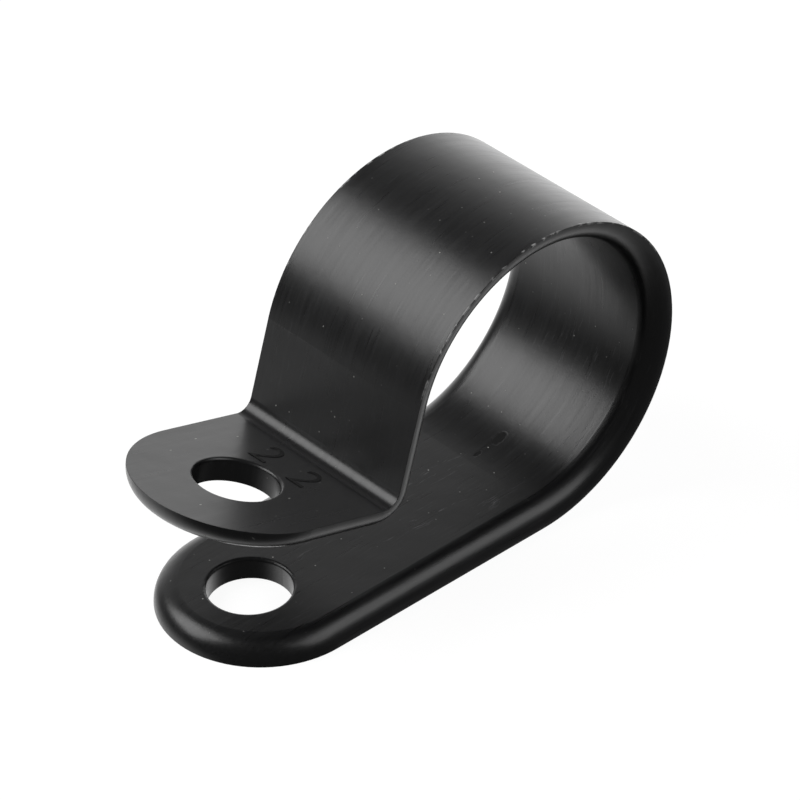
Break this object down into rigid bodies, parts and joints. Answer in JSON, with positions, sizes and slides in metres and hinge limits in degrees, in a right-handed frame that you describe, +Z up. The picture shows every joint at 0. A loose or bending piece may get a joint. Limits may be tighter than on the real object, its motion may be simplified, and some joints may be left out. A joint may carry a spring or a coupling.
{
  "type": "p clip",
  "caption": "Moulded nylon strap clip that wraps round a cable or pipe and is screwed to a panel through its ears.",
  "frame": {"origin": "centre of the base's screw hole, on the base's underside", "axes": "+X from the base's hole towards the cable, +Y along the cable, +Z up from the panel the base lies on"},
  "size_m": [0.043, 0.016, 0.0258],
  "materials": {
    "nylon": "satin black moulded nylon"
  },
  "bodies": {
    "root": {"clip": "nylon"}
  },
  "joints": []
}
